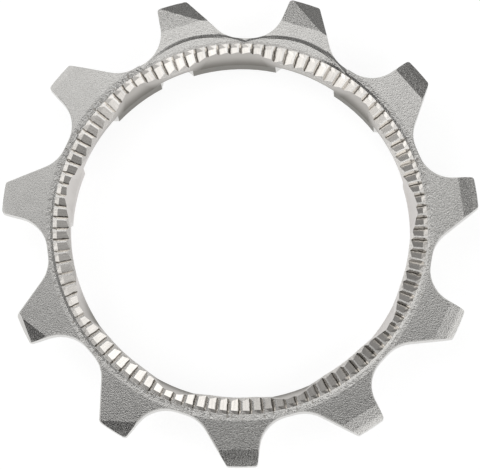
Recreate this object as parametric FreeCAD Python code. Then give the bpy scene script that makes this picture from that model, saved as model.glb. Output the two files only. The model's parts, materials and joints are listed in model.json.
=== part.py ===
import FreeCAD, Part
import math
import os

# An eleven-tooth bicycle cassette sprocket for the outermost place on the hub, made in one piece:
# a toothed plate, a spacer ring behind it, a splined bore, and a serrated seat for the lockring.
# Millimetres. The axis is Z. The origin is on the axis at the rear face of the spacer ring, and
# the serrated front face looks up. Angles are in degrees, clockwise as seen from the front,
# and start at +X.

# Chain and tooth form
teeth = 11
chain_pitch = 12.7
seat_depth = 3.83          # from the pitch circle in to the root
tip_height = 0.54          # from the pitch circle out to the tooth tip
seat_radius = 3.4          # roller seat, one arc on each side of the tooth space
seat_flat = 0.96           # straight bottom between the two arcs
steep_flank = 21.3         # slope of the driving flank from the middle line of the space
gentle_flank = 47.8        # slope of the trailing flank from the middle line of the space
tip_corner = 0.33          # rounding of the tip's two corners, seen from the front
first_space = 9.33         # angle of the first tooth space
edge_break = 0.1           # rolled edge along the front outline

# Thicknesses along the axis
plate_thickness = 1.85
spacer_height = 3.0
spacer_chamfer = 0.25
lip_depth = 1.7            # front lip that closes the spline grooves

# Radial steps inwards from the root circle
rim_width = 0.62           # plain ring outside the serrations
spacer_inset = 0.6
spacer_wall = 1.1          # outside of the spacer ring to the bottom of the spline grooves
spline_depth = 0.61        # bottom of the grooves to the bore
bore_chamfer = 0.45
bore_chamfer_depth = 0.5

# Spline tabs
tabs = 9
tab_width = 5.25
tab_flank = 45.0           # slope of the tab's sides from its middle line
wide_tab_extra = 2.75      # one tab is wider on its counter-clockwise side
wide_tab = 6
first_tab = 32.5

# Hollows pressed into the front face above the tabs
hollow_depth = 2.45        # front face to the hollow's lower edge on the tab
hollow_shelf = 0.85        # outside of the serrations to the hollow's outer edge
hollow_side = 0.75         # tab side to hollow side, at the bore
hollow_flank = 75.0        # slope of the hollow's sides from the radial line, seen from the front
hollow_lean = 35.0         # slope of the hollow's sides from upright

# Lockring serrations, a ring of saw teeth
serrations = 100
serration_depth = 0.38     # front face to the bottom of the grooves
serration_sink = 0.06      # front face to the crests
serration_ramp = 0.72      # share of each pitch that is the gentle face
serration_crest = 0.16     # flat on top of each saw tooth
serration_end = 0.37       # radial length of the rising outer ends
serration_end_slope = 25.0
seat_wall = 0.25           # radial width of the dished wall round the serrations
first_serration = 0.2

# Tip bevels on the front, each with its start inside the tip circle and its slope. A skewed bevel
# starts further in at the steep flank's corner than at the gentle flank's corner.
tip_bevel = 1.53
tip_bevel_slope = 12.5
skew_end = 0.2
skew_slope = 14.0
strip_bevel = 0.36
strip_slope = 60.0
rear_bevel = 1.0
rear_bevel_drop = 0.2

# Shift teeth: two neighbours with a lowered face
recess_depth = 0.55
recess_reach = 0.32        # from the root circle out to the crown of the recess edge
recess_arc = 8.4           # radius of the recess edge
shift_bevel = 2.33
shift_bevel_slope = 12.0
shift_corner_drop = 0.35   # extra drop at the clockwise corner of the tip

# Teeth by their number, clockwise from the first space. A skewed bevel has its own start.
plain_teeth = (0, 1, 2, 6, 9, 10)
skew_teeth = {3: 1.55, 4: 1.45, 5: 1.2}
strip_teeth = (4,)
shift_teeth = (7, 8)

# Worked-out sizes
tooth_angle = 360.0 / teeth
pitch_radius = chain_pitch / (2 * math.sin(math.pi / teeth))
root_radius = pitch_radius - seat_depth
tip_radius = pitch_radius + tip_height
front = spacer_height + plate_thickness
spacer_radius = root_radius - spacer_inset
groove_radius = spacer_radius - spacer_wall
bore_radius = groove_radius - spline_depth
hollow_bottom = front - hollow_depth
serration_radius = root_radius - rim_width
crest_level = front - serration_sink
recess_floor = front - recess_depth
tooth_height = tip_radius - root_radius
beyond = chain_pitch       # turned cutters reach this far past the work
above = front + plate_thickness


def polar(radius, angle, height=0.0):
    """A point at a clockwise angle."""
    turn = math.radians(-angle)
    return FreeCAD.Vector(radius * math.cos(turn), radius * math.sin(turn), height)


def tip_middle(tooth):
    """Angle of the middle between the two spaces beside a tooth."""
    return first_space + (tooth + 0.5) * tooth_angle


def arc(start, middle, end):
    return Part.Arc(start, middle, end).toShape()


def line(start, end):
    return Part.LineSegment(start, end).toShape()


def solid_of_points(faces):
    """A solid with flat faces, each given by its corners."""
    sides = [Part.Face(Part.makePolygon(corners + corners[:1])) for corners in faces]
    return Part.Solid(Part.Shell(sides))


def turned(profile, sweep=360.0):
    """A solid turned about the axis from the corners of its section, as radius and height."""
    corners = [FreeCAD.Vector(radius, 0, height) for radius, height in profile]
    face = Part.Face(Part.makePolygon(corners + corners[:1]))
    return face.revolve(FreeCAD.Vector(0, 0, 0), FreeCAD.Vector(0, 0, 1), sweep)


def flank(side, slope):
    """One side of a tooth space, in the space's own frame: across (clockwise), outwards.

    Gives the seat arc's start, middle and end, then the flank's end, the corner's middle and the
    corner's end on the tip circle.
    """
    slope = math.radians(slope)
    centre = (side * seat_flat / 2, root_radius + seat_radius)

    def on_seat(turn):
        across = centre[0] + side * seat_radius * math.sin(turn)
        return (across, centre[1] - seat_radius * math.cos(turn))

    sweep = math.pi / 2 - slope
    seat_end = on_seat(sweep)
    along = (side * math.sin(slope), math.cos(slope))
    inward = (side * math.cos(slope), -math.sin(slope))
    # The corner arc touches the flank and the tip circle: its middle lies one corner radius from both.
    foot = (seat_end[0] + tip_corner * inward[0], seat_end[1] + tip_corner * inward[1])
    half = foot[0] * along[0] + foot[1] * along[1]
    rest = foot[0] ** 2 + foot[1] ** 2 - (tip_radius - tip_corner) ** 2
    run = -half + math.sqrt(half ** 2 - rest)
    corner = (foot[0] + run * along[0], foot[1] + run * along[1])
    flank_end = (corner[0] - tip_corner * inward[0], corner[1] - tip_corner * inward[1])
    reach = math.hypot(*corner)
    corner_end = (corner[0] * tip_radius / reach, corner[1] * tip_radius / reach)
    split = (corner[0] / reach - inward[0], corner[1] / reach - inward[1])
    length = math.hypot(*split)
    corner_middle = (corner[0] + tip_corner * split[0] / length,
                     corner[1] + tip_corner * split[1] / length)
    return [on_seat(0), on_seat(sweep / 2), seat_end, flank_end, corner_middle, corner_end]


def placed(points, angle, height):
    """Points of a tooth space's own frame, at the space's angle."""
    out = polar(1, angle)
    across = polar(1, angle + 90)
    level = FreeCAD.Vector(0, 0, height)
    return [across * point[0] + out * point[1] + level for point in points]


def tooth_outline(height):
    """The outline of all teeth, clockwise."""
    edges = []
    for tooth in range(teeth):
        angle = first_space + tooth * tooth_angle
        steep = placed(flank(1, steep_flank), angle, height)
        gentle = placed(flank(-1, gentle_flank), angle, height)
        following = placed(flank(-1, gentle_flank), angle + tooth_angle, height)
        edges.append(arc(gentle[2], gentle[1], gentle[0]))
        edges.append(line(gentle[0], steep[0]))
        edges.append(arc(steep[0], steep[1], steep[2]))
        edges.append(line(steep[2], steep[3]))
        edges.append(arc(steep[3], steep[4], steep[5]))
        between = steep[5] + following[5]
        between.z = 0
        between = between.normalize() * tip_radius + FreeCAD.Vector(0, 0, height)
        edges.append(arc(steep[5], between, following[5]))
        edges.append(arc(following[5], following[4], following[3]))
        edges.append(line(following[3], following[2]))
    return Part.Wire(edges)


def toothed_plate():
    """The plate with its front outline edge broken."""
    plate = Part.Face(tooth_outline(spacer_height)).extrude(FreeCAD.Vector(0, 0, plate_thickness))
    top_edges = [edge for edge in plate.Edges
                 if edge.BoundBox.ZMin > front - plate_thickness / 2]
    return plate.makeChamfer(edge_break, top_edges)


def spacer_ring():
    """The ring behind the plate, sunk into it so that the two become one."""
    inner = spacer_height + plate_thickness / 2
    return turned([
        (0, 0),
        (spacer_radius - spacer_chamfer, 0),
        (spacer_radius, spacer_chamfer),
        (spacer_radius, inner),
        (0, inner),
    ])


def tab_sides(tab):
    """Half widths of a tab, counter-clockwise and clockwise of its middle line."""
    extra = wide_tab_extra if tab == wide_tab else 0
    return tab_width / 2 + extra, tab_width / 2


def beside(radius, angle, across):
    """A point of a circle, at a distance clockwise from the radial line at an angle."""
    return polar(radius, angle + math.degrees(math.asin(across / radius)), -spacer_height)


def groove_cutters():
    """The spline grooves between the tabs, cut from the rear up to the lip."""
    spread = spline_depth * math.tan(math.radians(tab_flank))
    step = 360.0 / tabs
    cutters = []
    for tab in range(tabs):
        here = first_tab + tab * step
        after = tab_sides(tab)[1]
        before = tab_sides((tab + 1) % tabs)[0]
        start = beside(groove_radius, here, after + spread)
        end = beside(groove_radius, here + step, -before - spread)
        start_foot = beside(bore_radius, here, after) * 2 - start
        end_foot = beside(bore_radius, here + step, -before) * 2 - end
        middle = start + end
        middle.z = 0
        middle = middle.normalize() * groove_radius + polar(0, 0, -spacer_height)
        profile = Part.Face(Part.Wire([
            line(start_foot, start),
            arc(start, middle, end),
            line(end, end_foot),
            line(end_foot, start_foot),
        ]))
        cutters.append(profile.extrude(FreeCAD.Vector(0, 0, spacer_height + front - lip_depth)))
    return cutters


def plain_bore():
    """The bore through tabs and lip, with its front chamfer."""
    slope = bore_chamfer / bore_chamfer_depth
    return turned([
        (0, -spacer_height),
        (bore_radius, -spacer_height),
        (bore_radius, front - bore_chamfer_depth),
        (bore_radius + slope * (above - front + bore_chamfer_depth), above),
        (0, above),
    ])


def seat_ring():
    """The shallow ring that the serrations stand in, with a dished outer wall."""
    slope = seat_wall / serration_sink
    return turned([
        (0, crest_level),
        (serration_radius, crest_level),
        (serration_radius + slope * (above - crest_level), above),
        (0, above),
    ])


def serration_cutter():
    """One saw-tooth groove with a rising outer end.

    The groove's faces run to one point on the axis, and those of its end to a lower one, so that
    each of them is flat.
    """
    pitch = 360.0 / serrations
    flat = math.degrees(serration_crest / serration_radius)
    steep_side = first_serration - (1 - serration_ramp) * pitch + flat / 2
    gentle_side = first_serration + serration_ramp * pitch - flat / 2
    end_radius = serration_radius - serration_end
    end_point = polar(0, 0, crest_level - end_radius * math.tan(math.radians(serration_end_slope)))

    def section(radius):
        drop = (serration_depth - serration_sink) * radius / end_radius
        deep = polar(radius, first_serration, crest_level - drop)
        return deep, polar(radius, steep_side, crest_level), polar(radius, gentle_side, crest_level)

    def risen(point):
        return end_point + (point - end_point) * (serration_radius / end_radius)

    def top(point):
        return FreeCAD.Vector(point.x, point.y, above)

    deep, steep, gentle = section(bore_radius - spline_depth)
    far_deep, far_steep, far_gentle = section(end_radius)
    end_deep, end_steep, end_gentle = risen(far_deep), risen(far_steep), risen(far_gentle)
    return solid_of_points([
        [deep, gentle, far_gentle, far_deep],
        [deep, far_deep, far_steep, steep],
        [far_deep, far_gentle, end_gentle, end_deep],
        [far_deep, end_deep, end_steep, far_steep],
        [gentle, top(gentle), top(end_gentle), end_gentle, far_gentle],
        [steep, far_steep, end_steep, top(end_steep), top(steep)],
        [deep, steep, gentle],
        [steep, top(steep), top(gentle), gentle],
        [end_deep, end_gentle, end_steep],
        [end_steep, end_gentle, top(end_gentle), top(end_steep)],
        [top(steep), top(end_steep), top(end_gentle), top(gentle)],
    ])


def serration_cutters():
    cutter = serration_cutter()
    cutters = []
    for index in range(serrations):
        copy = cutter.copy()
        copy.rotate(FreeCAD.Vector(0, 0, 0), FreeCAD.Vector(0, 0, 1), -index * 360.0 / serrations)
        cutters.append(copy)
    return cutters


def beyond_hollow(angle, side, half_width):
    """A block that lies beyond one sloped side of a hollow. Side is 1 clockwise and -1 the other way."""
    edge = angle + side * math.degrees(math.asin(half_width / bore_radius))
    out = polar(1, edge)
    across = polar(side, edge + 90)
    up = FreeCAD.Vector(0, 0, 1)
    foot = out * bore_radius + up * hollow_bottom
    run = (out - across * math.tan(math.radians(hollow_flank))) * spline_depth * 2
    rise = (up + across * math.tan(math.radians(hollow_lean))) * (above - hollow_bottom)
    corners = [foot - run - rise, foot + run - rise, foot + run + rise, foot - run + rise]
    return Part.Face(Part.makePolygon(corners + corners[:1])).extrude(across * beyond)


def hollow_cutters():
    """Above each tab, a conical hollow that runs down to the tab and fades out at both sides."""
    step = 360.0 / tabs
    outer = serration_radius - hollow_shelf
    climb = (outer - bore_radius) / hollow_depth
    cutters = []
    for tab in range(tabs):
        angle = first_tab + tab * step
        before, after = tab_sides(tab)
        cone = turned([
            (bore_radius - spline_depth, hollow_bottom),
            (bore_radius, hollow_bottom),
            (outer + climb * (above - front), above),
            (bore_radius - spline_depth, above),
        ], step)
        cone.rotate(FreeCAD.Vector(0, 0, 0), FreeCAD.Vector(0, 0, 1), -angle - step / 2)
        cutters.append(cone.cut([beyond_hollow(angle, -1, before - hollow_side),
                                 beyond_hollow(angle, 1, after - hollow_side)]))
    return cutters


def tip_corners(tooth):
    """Angles at which a tooth's tip starts, on its steep flank, and ends, on its gentle flank."""
    space = first_space + tooth * tooth_angle
    steep = flank(1, steep_flank)[-1]
    gentle = flank(-1, gentle_flank)[-1]
    return (space + math.degrees(math.atan2(*steep)),
            space + tooth_angle + math.degrees(math.atan2(*gentle)))


def bevel_cutter(tooth, start_inset, end_inset, slope, height):
    """A flat bevel over one tip, from a line between points below the tip's two corners."""
    first, last = tip_corners(tooth)
    start = polar(tip_radius - start_inset, first, height)
    end = polar(tip_radius - end_inset, last, height)
    along = (end - start).normalize()
    out = FreeCAD.Vector(-along.y, along.x, 0)
    up = FreeCAD.Vector(0, 0, tooth_height)
    back = start - along * tooth_height
    far = back + out * tooth_height
    section = [back, far - up * math.tan(math.radians(slope)), far + up, back + up]
    face = Part.Face(Part.makePolygon(section + section[:1]))
    return face.extrude(along * (2 * tooth_height + (end - start).Length))


def recess_cutter(tooth):
    """Lowers one tooth's face outside a curved edge, with a round cove at the foot of the step."""
    crown = root_radius + recess_reach
    centre = polar(crown - recess_arc, tip_middle(tooth))
    low = FreeCAD.Vector(recess_arc + recess_depth, 0, recess_floor)
    high = FreeCAD.Vector(recess_arc, 0, front)
    bend = recess_depth * (1 - math.sqrt(0.5))
    middle = FreeCAD.Vector(recess_arc + bend, 0, recess_floor + bend)
    top = FreeCAD.Vector(recess_arc, 0, above)
    rim = recess_arc + beyond
    outside_top = FreeCAD.Vector(rim, 0, above)
    outside_low = FreeCAD.Vector(rim, 0, recess_floor)
    profile = Part.Face(Part.Wire([
        arc(low, middle, high),
        line(high, top),
        line(top, outside_top),
        line(outside_top, outside_low),
        line(outside_low, low),
    ]))
    ring = profile.revolve(FreeCAD.Vector(0, 0, 0), FreeCAD.Vector(0, 0, 1), 360)
    ring.translate(centre)
    far = tip_radius + recess_arc
    corners = [
        polar(serration_radius, tip_middle(tooth) - tooth_angle / 2, recess_floor - recess_depth),
        polar(far, tip_middle(tooth) - tooth_angle / 2, recess_floor - recess_depth),
        polar(far, tip_middle(tooth) + tooth_angle / 2, recess_floor - recess_depth),
        polar(serration_radius, tip_middle(tooth) + tooth_angle / 2, recess_floor - recess_depth),
    ]
    sector = Part.Face(Part.makePolygon(corners + corners[:1]))
    return ring.common(sector.extrude(FreeCAD.Vector(0, 0, above - recess_floor + recess_depth)))


def shift_corner_cutter(tooth):
    """A second facet on a shift tooth, from its steep tip corner down to the gentle flank."""
    angle = first_space + tooth * tooth_angle
    steep = flank(1, steep_flank)
    gentle = flank(-1, gentle_flank)
    fall = shift_bevel * math.tan(math.radians(shift_bevel_slope))
    ridge_top = placed([steep[5]], angle, recess_floor - fall)[0]
    low_corner = placed([gentle[5]], angle + tooth_angle, recess_floor - fall - shift_corner_drop)[0]
    run = (gentle[3][0] - gentle[2][0], gentle[3][1] - gentle[2][1])
    inset = (tip_radius - shift_bevel - math.hypot(*gentle[2])) / (tip_radius - math.hypot(*gentle[2]))
    foot = (gentle[2][0] + run[0] * inset, gentle[2][1] + run[1] * inset)
    ridge_foot = placed([foot], angle + tooth_angle, recess_floor)[0]
    ridge = ridge_foot - ridge_top
    length = ridge.Length + 2 * tooth_height
    ridge.normalize()
    normal = ridge.cross(low_corner - ridge_top).normalize()
    if normal.z < 0:
        normal = normal * -1
    across = normal.cross(ridge).normalize()
    if across.dot(low_corner - ridge_top) < 0:
        across = across * -1
    start = ridge_top - ridge * tooth_height - across * tip_corner
    end = start + ridge * length
    corners = [start, end, end + across * tooth_height, start + across * tooth_height]
    facet = Part.Face(Part.makePolygon(corners + corners[:1]))
    return facet.extrude(normal * tooth_height)


def rear_bevel_cutter():
    """A shallow turned bevel on the rear of the tips."""
    climb = rear_bevel_drop / rear_bevel
    low = spacer_height - rear_bevel_drop
    return turned([
        (tip_radius - 2 * rear_bevel, low),
        (tip_radius + beyond, low),
        (tip_radius + beyond, spacer_height + rear_bevel_drop + climb * beyond),
    ])


def cog():
    body = toothed_plate().fuse(spacer_ring())
    body = body.cut(seat_ring())
    body = body.cut(serration_cutters())
    body = body.cut(plain_bore())
    body = body.cut(groove_cutters())
    cutters = hollow_cutters()
    cutters += [bevel_cutter(tooth, tip_bevel, tip_bevel, tip_bevel_slope, front)
                for tooth in plain_teeth]
    cutters += [bevel_cutter(tooth, start, skew_end, skew_slope, front)
                for tooth, start in skew_teeth.items()]
    cutters += [bevel_cutter(tooth, strip_bevel, strip_bevel, strip_slope, front)
                for tooth in strip_teeth]
    cutters += [recess_cutter(tooth) for tooth in shift_teeth]
    cutters += [bevel_cutter(tooth, shift_bevel, shift_bevel, shift_bevel_slope, recess_floor)
                for tooth in shift_teeth]
    cutters += [shift_corner_cutter(tooth) for tooth in shift_teeth]
    for cutter in cutters:
        body = body.cut(cutter)
    return body.cut(rear_bevel_cutter())


os.makedirs("parts", exist_ok=True)
shape = cog()
solids = shape.Solids
print("solids", len(solids), "valid", shape.isValid(), "volume", round(shape.Volume, 2))
solids[0].exportStep("parts/cog.step")
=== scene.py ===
import bmesh
import bpy
import json
import math
from mathutils import Matrix, Vector

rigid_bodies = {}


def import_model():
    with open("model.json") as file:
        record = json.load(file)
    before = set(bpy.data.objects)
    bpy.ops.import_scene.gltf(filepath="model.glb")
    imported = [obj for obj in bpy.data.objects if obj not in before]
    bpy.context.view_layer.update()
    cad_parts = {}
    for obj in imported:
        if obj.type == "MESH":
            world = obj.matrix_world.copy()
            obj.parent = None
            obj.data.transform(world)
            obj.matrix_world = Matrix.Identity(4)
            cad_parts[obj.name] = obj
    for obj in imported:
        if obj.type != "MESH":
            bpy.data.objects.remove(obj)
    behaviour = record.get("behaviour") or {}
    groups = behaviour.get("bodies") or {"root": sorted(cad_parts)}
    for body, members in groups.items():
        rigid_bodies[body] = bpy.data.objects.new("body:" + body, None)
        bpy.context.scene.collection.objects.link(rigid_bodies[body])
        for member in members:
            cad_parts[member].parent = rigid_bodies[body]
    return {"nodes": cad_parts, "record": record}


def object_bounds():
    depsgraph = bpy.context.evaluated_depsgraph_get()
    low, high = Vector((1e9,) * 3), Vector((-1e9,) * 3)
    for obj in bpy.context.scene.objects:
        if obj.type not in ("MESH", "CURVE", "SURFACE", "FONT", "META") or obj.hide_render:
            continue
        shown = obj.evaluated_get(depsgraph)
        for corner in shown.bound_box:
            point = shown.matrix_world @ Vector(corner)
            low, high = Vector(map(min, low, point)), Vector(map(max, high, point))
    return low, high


for left_over in list(bpy.data.objects):
    bpy.data.objects.remove(left_over)

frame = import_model()
cad_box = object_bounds()

MM = 0.001
FACE = cad_box[1][2]       # height of the serrated front face above the floor

# Radii in millimetres, as the record gives them
fits = {mount["name"]: mount["dims"] for mount in frame["record"]["mounts"]}
BORE = fits["spline_bore"]["r_mm"]
SEAT = fits["lockring_seat"]["r_mm"]

SERRATIONS = 100
FIRST_SERRATION = 0.2      # degrees clockwise from +X to the bottom of the first serration
CREST = 0.72               # share of a pitch from the bottom of a serration to its crest
RECESSES = -90.7           # degrees clockwise from +X to the middle of the two shift recesses

# The camera stands off the axis, towards -Y. The picture is as wide as the photograph, in pixels.
PICTURE_WIDTH = 480
PIXELS_PER_MM = 10.37
CAMERA_AXIS = (0.02548, -0.14759, 0.98872)
CAMERA_RIGHT = (0.999675, 0.003762, -0.025201)
CAMERA_DISTANCE = 549.0 * MM
AIM_BELOW = 7.0            # pixels from the middle of the face down to the middle of the picture
SENSOR_WIDTH = 36.0
CLIP_NEAR = 10 * MM
CLIP_FAR = 100.0

# Name, place and size in millimetres, and radiance of each lamp
SOFTBOXES = (
    ("right_softbox", (220, -65, 270), (235, 175), 1.1),
    ("front_softbox", (110, -195, 285), (125, 215), 0.95),
    ("left_softbox", (-220, 75, 175), (420, 265), 0.9),
    ("top_softbox", (-12, 95, 240), (130, 135), 1.2),
)

# The tent round the cog is pale at its sides, dimmer overhead and towards the back
TENT_TOP = (0.55, 0.9)             # Z of the directions where it begins and ends to dim
TENT_STRENGTHS = (0.7, 0.17)       # at the sides and overhead
OPENING = (-0.28, -0.27, 0.921)    # direction of a dark opening in the tent
OPENING_EDGE = (0.91, 0.982)       # cosines from that direction where the opening begins and is full
OPENING_SHARE = 0.05               # share of the tent's light that is left in the opening
LOW_DOWN = (0.55, 0.25)            # Z of the directions where low down begins and is full
BEHIND = (0.1, 0.6)                # and Y of those where behind does
LOW_BACK_LOSS = -0.5               # of the light low down behind the cog
BACK_SLOPE = (-0.45, 1.0)          # Y of the directions where the light begins and ends to fall off
BACK_SHARES = (0.9, 0.3)

FLOOR_REACH = 3.0
FLOOR_DROP = 0.02 * MM             # keeps the paper clear of the cog's rear face
PAPER_GREY = (0.3, 0.3, 0.3, 1)
PAPER_GLOW = 0.85                  # what the paper adds where it is seen or mirrored
WHITE = (1, 1, 1, 1)

# Colours of the steel
SATIN_STEEL = (0.62, 0.61, 0.59, 1)
# The bore's colour is painted shade, lighter near the face and darker deep down
BORE_SHADE_DEEP = (0.22, 0.21, 0.19, 1)
BORE_SHADE_NEAR = (0.52, 0.50, 0.475, 1)
# A painted sheen that lightens the left and right sides of the bore
BORE_SHEEN = (0.68, 0.655, 0.635, 1)
PRESSED = (0.80, 0.77, 0.73, 1)
# Burnish on the chamfer and lip, and a painted highlight on the serration crests
BURNISH_AND_HIGHLIGHT = (0.84, 0.82, 0.79, 1)
# Painted shade in the bottoms between the serrations
GROOVE_SHADE = (0.17, 0.155, 0.135, 1)
SCUFFED = (0.42, 0.40, 0.37, 1)

# How much lighter or darker the marks make it
GRAIN_TONE = 0.15
BEVEL_GRAIN_TONE = 0.8
CLOUD_TONE = 0.12
SMOOTHER_TONE = -0.09
STREAK_TONE = 0.3
SERRATION_TONE = 0.2

# Roughness of each finish
SIDE_ROUGHNESS = 0.28
FACE_ROUGHNESS = 0.27
SEAT_ROUGHNESS = 0.26
CHAMFER_ROUGHNESS = 0.45
LIP_ROUGHNESS = 0.55
BORE_ROUGHNESS = (0.45, 0.55)      # near the face and deep down
GRAIN_ROUGHNESS = 0.25
SCUFF_ROUGHNESS = 0.1

# Cells of noise in a millimetre, each way where they are stretched into lines
GRAIN_CELLS = 11.0
CLOUD_CELLS = 0.7
BURR_CELLS = 3.4
SHEAR_CELLS = (4.0, 4.0, 0.3)      # along X, Y and Z
BROACH_CELLS = (5.0, 0.35)         # around the bore and along it
TURNED_CELLS = (9.0, 9.0, 1.5)     # outwards and along, and in a radian of turn
SCUFF_CELLS = (3.2, 1.4)           # around and outwards, as the next two
STREAK_CELLS = (6.0, 0.8)
WANDER_CELLS = (0.9, 1.6)
SCUFF_LAYER = 3.0                  # slices of the noise, so that no two patterns are alike
STREAK_LAYER = 7.0
WANDER_LAYER = 5.0

# Serrations, in shares of a pitch, and the strength of the painted shade between them
CREST_EDGE = (0.11, 0.06)
GROOVE_SHADE_EDGE = (0.085, 0.02)
GROOVE_SHADE_WANDER = 0.3
GROOVE_SHADE_STRENGTHS = (0.25, 1.0)
GROOVE_SHADE_LOT = 0.37                    # keeps the lots of the painted shade apart from those of the serrations

# Millimetres below the face where the bore's painted shade and its rougher wear begin and are full
SHADE_AND_WEAR_NEAR = 0.6
SHADE_AND_WEAR_DEEP = 2.6

# Heights of the marks, with the grain's as 1
RELIEF = 0.011 * MM
SMOOTHER_GRAIN = 0.45
SHEAR_HEIGHT = 0.8
BROACH_HEIGHT = 0.8
STREAK_HEIGHT = 0.25
BURR_HEIGHT = 2.3
DISH_HEIGHT = 3.3


def make_camera():
    back = Vector(CAMERA_AXIS).normalized()
    right = Vector(CAMERA_RIGHT).normalized()
    up = back.cross(right).normalized()
    face_middle = Vector((0, 0, FACE))
    place = face_middle + back * CAMERA_DISTANCE
    aim = face_middle - up * (AIM_BELOW / PIXELS_PER_MM * MM)
    back = (place - aim).normalized()
    up = back.cross(right).normalized()
    lens = bpy.data.cameras.new("photo_camera")
    lens.sensor_fit = "HORIZONTAL"
    lens.sensor_width = SENSOR_WIDTH
    lens.lens = PIXELS_PER_MM * CAMERA_DISTANCE / MM / PICTURE_WIDTH * SENSOR_WIDTH
    lens.clip_start = CLIP_NEAR
    lens.clip_end = CLIP_FAR
    camera = bpy.data.objects.new("photo_camera", lens)
    turn = Matrix((right, up, back)).transposed()
    camera.matrix_world = Matrix.Translation(place) @ turn.to_4x4()
    bpy.context.scene.collection.objects.link(camera)
    bpy.context.scene.camera = camera


class Shader:
    """A small hand for wiring shader nodes."""

    def __init__(self, tree):
        self.tree = tree
        tree.nodes.clear()

    def add(self, kind, inputs=None, **settings):
        node = self.tree.nodes.new(kind)
        for name, value in settings.items():
            setattr(node, name, value)
        for key, value in (inputs or {}).items():
            if isinstance(value, bpy.types.NodeSocket):
                self.tree.links.new(value, node.inputs[key])
            else:
                node.inputs[key].default_value = value
        return node

    def end(self, kind, shown):
        """Joins the shown shader to the tree's output."""
        out = self.add(kind)
        self.tree.links.new(shown.outputs[0], out.inputs["Surface"])

    def math(self, operation, first, second=0.0, third=0.0):
        node = self.add("ShaderNodeMath", {0: first, 1: second, 2: third}, operation=operation)
        return node.outputs[0]

    def times(self, *values):
        product = values[0]
        for value in values[1:]:
            product = self.math("MULTIPLY", product, value)
        return product

    def plus(self, total, share, *values):
        """The total and a share of the product of the values."""
        return self.math("MULTIPLY_ADD", self.times(*values), share, total)

    def all_but(self, share):
        return self.math("SUBTRACT", 1.0, share)

    def larger(self, first, second):
        return self.math("MAXIMUM", first, second)

    def vector(self, *parts):
        return self.add("ShaderNodeCombineXYZ", dict(enumerate(parts))).outputs[0]

    def stretched(self, values, cells, *layer):
        """A vector of each value times its own number of cells, and of a layer where one is given."""
        parts = [self.times(value, count) for value, count in zip(values, cells)]
        return self.vector(*parts, *layer)

    def scaled(self, vector, scale):
        node = self.add("ShaderNodeVectorMath", {0: vector, "Scale": scale}, operation="SCALE")
        return node.outputs[0]

    def dot(self, first, second):
        node = self.add("ShaderNodeVectorMath", {0: first, 1: second}, operation="DOT_PRODUCT")
        return node.outputs["Value"]

    def noise(self, vector, detail, roughness=0.5):
        """Noise of one cell a unit, spread about zero."""
        node = self.add("ShaderNodeTexNoise", {
            "Vector": vector, "Scale": 1.0, "Detail": detail, "Roughness": roughness,
        })
        return self.math("SUBTRACT", node.outputs["Fac"], 0.5)

    def lot(self, number):
        """A value from 0 to 1 that belongs to the number alone."""
        node = self.add("ShaderNodeTexWhiteNoise", {"W": number}, noise_dimensions="1D")
        return node.outputs["Value"]

    def blend(self, share, first, second):
        """Goes from the first number to the second as the share goes from 0 to 1."""
        node = self.add("ShaderNodeMix", {0: share, 2: first, 3: second}, data_type="FLOAT")
        return node.outputs[0]

    def tint(self, share, first, second):
        """Goes from the first colour to the second as the share goes from 0 to 1."""
        node = self.add("ShaderNodeMix", {0: share, 6: first, 7: second}, data_type="RGBA")
        return node.outputs[2]

    def ramp(self, value, low, high, to_low=0.0, to_high=1.0, kind="SMOOTHSTEP"):
        """Goes from to_low to to_high as the value goes from low to high, and stays there beyond."""
        node = self.add("ShaderNodeMapRange", {
            "Value": value, "From Min": low, "From Max": high, "To Min": to_low, "To Max": to_high,
        }, interpolation_type=kind)
        return node.outputs["Result"]


def make_softbox(name, place, size, radiance):
    """An area lamp of an even radiance that faces the cog."""
    lamp = bpy.data.lights.new(name, "AREA")
    lamp.shape = "RECTANGLE"
    lamp.size, lamp.size_y = (side * MM for side in size)
    lamp.energy = radiance * math.pi * lamp.size * lamp.size_y
    box = bpy.data.objects.new(name, lamp)
    box.location = Vector(place) * MM
    box.rotation_euler = (-box.location).to_track_quat("-Z", "Y").to_euler()
    box.visible_camera = False
    bpy.context.scene.collection.objects.link(box)


def make_tent():
    world = bpy.data.worlds.new("studio")
    bpy.context.scene.world = world
    world.use_nodes = True
    shader = Shader(world.node_tree)
    direction = shader.add("ShaderNodeTexCoord").outputs["Generated"]
    parts = shader.add("ShaderNodeSeparateXYZ", {0: direction})
    height = parts.outputs["Z"]
    backward = parts.outputs["Y"]
    tent = shader.ramp(height, *TENT_TOP, *TENT_STRENGTHS, kind="LINEAR")
    opening = shader.ramp(shader.dot(direction, OPENING), *OPENING_EDGE, 1.0, OPENING_SHARE)
    low_back = shader.plus(1.0, LOW_BACK_LOSS, shader.ramp(height, *LOW_DOWN),
                           shader.ramp(backward, *BEHIND))
    slope = shader.ramp(backward, *BACK_SLOPE, *BACK_SHARES, kind="LINEAR")
    strength = shader.times(tent, opening, low_back, slope)
    light = shader.add("ShaderNodeBackground", {"Color": WHITE, "Strength": strength})
    shader.end("ShaderNodeOutputWorld", light)


def make_floor():
    mesh = bpy.data.meshes.new("floor")
    shape = bmesh.new()
    bmesh.ops.create_grid(shape, x_segments=1, y_segments=1, size=FLOOR_REACH)
    bmesh.ops.translate(shape, verts=shape.verts, vec=(0, 0, -FLOOR_DROP))
    shape.to_mesh(mesh)
    shape.free()
    floor = bpy.data.objects.new("floor", mesh)
    bpy.context.scene.collection.objects.link(floor)
    mesh.materials.append(white_paper())


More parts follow.
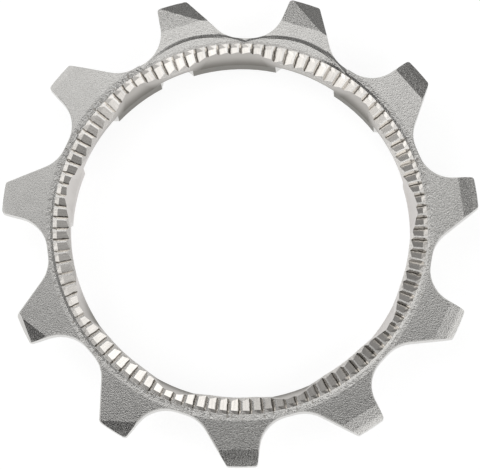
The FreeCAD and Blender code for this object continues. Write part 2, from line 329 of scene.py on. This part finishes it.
def white_paper():
    """Matte paper that shows white to the camera and in the steel, and keeps the cog's shadow."""
    paper = bpy.data.materials.new("white_paper")
    paper.use_nodes = True
    shader = Shader(paper.node_tree)
    path = shader.add("ShaderNodeLightPath")
    seen = shader.larger(path.outputs["Is Camera Ray"], path.outputs["Is Glossy Ray"])
    seen = shader.larger(seen, path.outputs["Is Transmission Ray"])
    matte = shader.add("ShaderNodeBsdfDiffuse", {"Color": PAPER_GREY})
    glow = shader.add("ShaderNodeEmission", {"Color": WHITE, "Strength": shader.times(seen, PAPER_GLOW)})
    both = shader.add("ShaderNodeAddShader", {0: matte.outputs[0], 1: glow.outputs[0]})
    shader.end("ShaderNodeOutputMaterial", both)
    return paper


class Spot:
    """Where a point of the cog lies, in millimetres, and which way its surface looks."""

    def __init__(self, shader):
        source = shader.add("ShaderNodeTexCoord")
        self.place = shader.scaled(source.outputs["Object"], 1 / MM)
        self.x, self.y, self.z = shader.add("ShaderNodeSeparateXYZ", {0: self.place}).outputs
        self.depth = shader.math("SUBTRACT", FACE / MM, self.z)
        flat = shader.vector(self.x, self.y, 0.0)
        self.radius = shader.add("ShaderNodeVectorMath", {0: flat}, operation="LENGTH").outputs["Value"]
        self.turn = shader.math("ARCTAN2", self.y, self.x)
        self.around = shader.times(self.turn, BORE)
        self.clockwise = shader.math("DEGREES", shader.times(self.turn, -1.0))
        normal = source.outputs["Normal"]
        self.up = shader.add("ShaderNodeSeparateXYZ", {0: normal}).outputs["Z"]
        self.outward = shader.math("DIVIDE", shader.dot(normal, flat), self.radius)


class Zones:
    """Shares from 0 to 1 that say where each finish lies.

    The bounds are millimetres, degrees from the recesses, or parts of the surface's direction.
    """

    def __init__(self, shader, spot):
        ramp = shader.ramp
        times = shader.times

        # The serrated seat, and the blasted front faces with their bevels
        facing = ramp(spot.up, 0.5, 0.8)
        self.seat = times(ramp(spot.radius, SEAT + 0.06, SEAT - 0.04),
                          ramp(spot.outward, -0.6, -0.4), ramp(spot.depth, 0.55, 0.45))
        self.face = times(facing, shader.all_but(self.seat))
        self.bevel = times(self.face, ramp(spot.up, 0.993, 0.982))
        self.smoother = times(self.face, ramp(spot.x, -10.0, -16.0), ramp(spot.y, -13.0, -5.0))

        # The turned rear and outside of the spacer ring, and the sheared tooth flanks
        rear = ramp(spot.up, -0.5, -0.8)
        outside = times(ramp(spot.outward, 0.5, 0.7), ramp(spot.radius, SEAT + 0.3, SEAT + 0.15))
        self.turned = shader.larger(rear, outside)
        self.flank = times(ramp(spot.radius, SEAT + 0.3, SEAT + 0.6),
                           shader.all_but(facing), shader.all_but(rear))

        # The broached bore, its chamfer and the two sides that a painted sheen lightens
        self.bore = times(ramp(spot.outward, -0.7, -0.85), ramp(spot.radius, BORE + 1.3, BORE + 1.0))
        self.chamfer = times(ramp(spot.outward, -0.5, -0.65), ramp(spot.up, 0.5, 0.62),
                             ramp(spot.radius, BORE + 1.35, BORE + 1.2))
        left_side = times(ramp(spot.x, -10.0, -14.0), ramp(spot.y, -9.0, -5.0))
        self.painted_sheen = times(shader.larger(ramp(spot.x, 8.0, 12.0), left_side), ramp(spot.y, 9.5, 6.5))

        # The seat's lip beside the shift recesses, and the pressed ring round the rest of the seat
        from_recess = shader.math("ABSOLUTE", shader.math("SUBTRACT", spot.clockwise, RECESSES))
        self.lip = times(ramp(spot.outward, -0.12, -0.2), ramp(spot.radius, SEAT - 0.12, SEAT - 0.06),
                         ramp(from_recess, 30.0, 24.0))
        self.pressed = times(ramp(from_recess, 24.0, 30.0), ramp(spot.depth, 0.4, 0.2))
        self.ring = times(self.face, self.pressed, ramp(spot.radius, SEAT + 0.9, SEAT + 0.3))


class Marks:
    """Grain, lines left by the tools, and painted shade and highlights on the serrations."""

    def __init__(self, shader, spot, zones):
        times = shader.times

        grain = shader.noise(shader.scaled(spot.place, GRAIN_CELLS), 0.0)
        self.grain = times(grain, shader.blend(zones.smoother, 1.0, SMOOTHER_GRAIN))
        self.cloud = shader.noise(shader.scaled(spot.place, CLOUD_CELLS), 2.0)

        shear = shader.stretched((spot.x, spot.y, spot.z), SHEAR_CELLS)
        self.shear_lines = shader.noise(shear, 2.0, 0.6)
        broach = shader.stretched((spot.around, spot.z), BROACH_CELLS)
        self.broach_lines = shader.noise(broach, 2.0, 0.6)
        turning = shader.stretched((spot.radius, spot.z, spot.turn), TURNED_CELLS)
        self.turned_lines = shader.noise(turning, 2.0, 0.6)

        # Scuffs, burrs and a shallow dish where the serrations were pressed in
        ringed = (spot.around, spot.radius)
        scuffs = shader.noise(shader.stretched(ringed, SCUFF_CELLS, SCUFF_LAYER), 1.0)
        self.scuffed = times(zones.ring, shader.ramp(scuffs, 0.1, 0.2))
        self.burrs = shader.noise(shader.scaled(spot.place, BURR_CELLS), 1.0)
        self.dish = shader.ramp(spot.radius, SEAT, SEAT + 0.65, kind="LINEAR")

        # Each serration has a painted highlight on its crest, streaks and a shade of its own
        pitches = times(shader.math("SUBTRACT", spot.clockwise, FIRST_SERRATION), SERRATIONS / 360)
        from_crest = shader.math("SUBTRACT", shader.math("FRACT", pitches), CREST)
        self.crest = times(zones.seat, shader.ramp(shader.math("ABSOLUTE", from_crest), *CREST_EDGE))
        self.streaks = shader.noise(shader.stretched(ringed, STREAK_CELLS, STREAK_LAYER), 1.0)
        self.own_shade = shader.math("SUBTRACT", shader.lot(shader.math("FLOOR", pitches)), 0.5)

        # Painted shade lies along the bottoms between them, in wandering lines of differing strength
        wander = shader.noise(shader.stretched(ringed, WANDER_CELLS, WANDER_LAYER), 1.0)
        bottoms = shader.plus(pitches, GROOVE_SHADE_WANDER, wander)
        nearest = shader.math("FLOOR", shader.math("ADD", bottoms, 0.5))
        filled = shader.lot(shader.math("ADD", nearest, GROOVE_SHADE_LOT))
        self.groove_shade = times(zones.seat, shader.ramp(shader.math("PINGPONG", bottoms, 0.5), *GROOVE_SHADE_EDGE),
                          shader.ramp(filled, 0.0, 0.7, *GROOVE_SHADE_STRENGTHS))


def steel_colour(shader, spot, zones, marks):
    # Painted shade in the bore, darker deep down, then a painted sheen on two of its sides
    bore_shade_and_sheen = shader.tint(shader.ramp(spot.depth, SHADE_AND_WEAR_DEEP, SHADE_AND_WEAR_NEAR), BORE_SHADE_DEEP, BORE_SHADE_NEAR)
    bore_shade_and_sheen = shader.tint(zones.painted_sheen, bore_shade_and_sheen, BORE_SHEEN)
    colour = shader.tint(zones.bore, SATIN_STEEL, bore_shade_and_sheen)
    colour = shader.tint(zones.seat, colour, PRESSED)
    # Burnish on the chamfer and lip, and a painted highlight along the serration crests
    burnish_and_highlight = shader.larger(marks.crest, shader.larger(zones.chamfer, zones.lip))
    colour = shader.tint(burnish_and_highlight, colour, BURNISH_AND_HIGHLIGHT)
    # Painted shade along the bottoms between the serrations
    colour = shader.tint(marks.groove_shade, colour, GROOVE_SHADE)
    colour = shader.tint(marks.scuffed, colour, SCUFFED)
    tone = shader.plus(1.0, GRAIN_TONE, marks.grain, zones.face)
    tone = shader.plus(tone, BEVEL_GRAIN_TONE, marks.grain, zones.bevel)
    tone = shader.plus(tone, CLOUD_TONE, marks.cloud)
    tone = shader.plus(tone, SMOOTHER_TONE, zones.smoother)
    tone = shader.plus(tone, STREAK_TONE, marks.streaks, zones.seat)
    tone = shader.plus(tone, SERRATION_TONE, marks.own_shade, zones.seat)
    return shader.scaled(colour, tone)


def steel_roughness(shader, spot, zones, marks):
    rough = shader.blend(zones.face, SIDE_ROUGHNESS, FACE_ROUGHNESS)
    in_bore = shader.ramp(spot.depth, SHADE_AND_WEAR_NEAR, SHADE_AND_WEAR_DEEP, *BORE_ROUGHNESS)
    rough = shader.blend(zones.bore, rough, in_bore)
    rough = shader.blend(zones.seat, rough, SEAT_ROUGHNESS)
    rough = shader.blend(zones.chamfer, rough, CHAMFER_ROUGHNESS)
    rough = shader.blend(zones.lip, rough, LIP_ROUGHNESS)
    rough = shader.plus(rough, GRAIN_ROUGHNESS, marks.grain, zones.face)
    return shader.plus(rough, SCUFF_ROUGHNESS, marks.scuffed)


def steel_relief(shader, zones, marks):
    height = shader.times(marks.grain, zones.face)
    height = shader.plus(height, SHEAR_HEIGHT, marks.shear_lines, zones.flank)
    height = shader.plus(height, BROACH_HEIGHT, marks.broach_lines, zones.bore)
    height = shader.plus(height, zones.turned, marks.turned_lines)
    height = shader.plus(height, STREAK_HEIGHT, marks.streaks, zones.seat)
    height = shader.plus(height, BURR_HEIGHT, marks.burrs, zones.ring)
    height = shader.plus(height, DISH_HEIGHT, marks.dish, zones.pressed)
    relief = shader.add("ShaderNodeBump", {"Strength": 1.0, "Distance": RELIEF, "Height": height})
    return relief.outputs["Normal"]


def satin_nickel_steel():
    """Nickel-plated steel: blasted faces, pressed serrations, a broached bore and a turned rear."""
    steel = bpy.data.materials.new("satin_nickel_steel")
    steel.use_nodes = True
    shader = Shader(steel.node_tree)
    spot = Spot(shader)
    zones = Zones(shader, spot)
    marks = Marks(shader, spot, zones)
    surface = shader.add("ShaderNodeBsdfPrincipled", {
        "Base Color": steel_colour(shader, spot, zones, marks),
        "Metallic": 1.0,
        "Roughness": steel_roughness(shader, spot, zones, marks),
        "Normal": steel_relief(shader, zones, marks),
    })
    shader.end("ShaderNodeOutputMaterial", surface)
    return steel


make_camera()
make_tent()
for softbox in SOFTBOXES:
    make_softbox(*softbox)
make_floor()
cog = frame["nodes"]["cog"]
cog.material_slots[0].material = satin_nickel_steel()

bpy.context.scene.view_settings.view_transform = "Standard"
